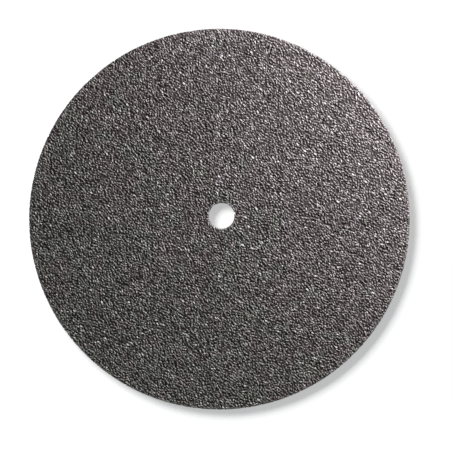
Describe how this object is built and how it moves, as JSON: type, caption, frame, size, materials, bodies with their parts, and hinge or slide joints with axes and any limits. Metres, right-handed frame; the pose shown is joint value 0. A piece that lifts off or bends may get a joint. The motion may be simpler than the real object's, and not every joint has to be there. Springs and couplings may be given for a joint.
{
  "type": "cut off wheel",
  "caption": "Thin round bonded-abrasive cut-off wheel for a small rotary tool, dark grey grit, with a plain bore for an arbor screw.",
  "frame": {"origin": "centre of the rim at the level of the lower face, which rests on z = 0", "axes": "+Z along the wheel's axis, up through its thickness; +X to the right and +Y to the top of the wheel as pictured"},
  "size_m": [0.024, 0.024, 0.0006],
  "materials": {
    "bonded_grit": "matte"
  },
  "bodies": {
    "root": {"abrasive_disc": "bonded_grit"}
  },
  "joints": []
}
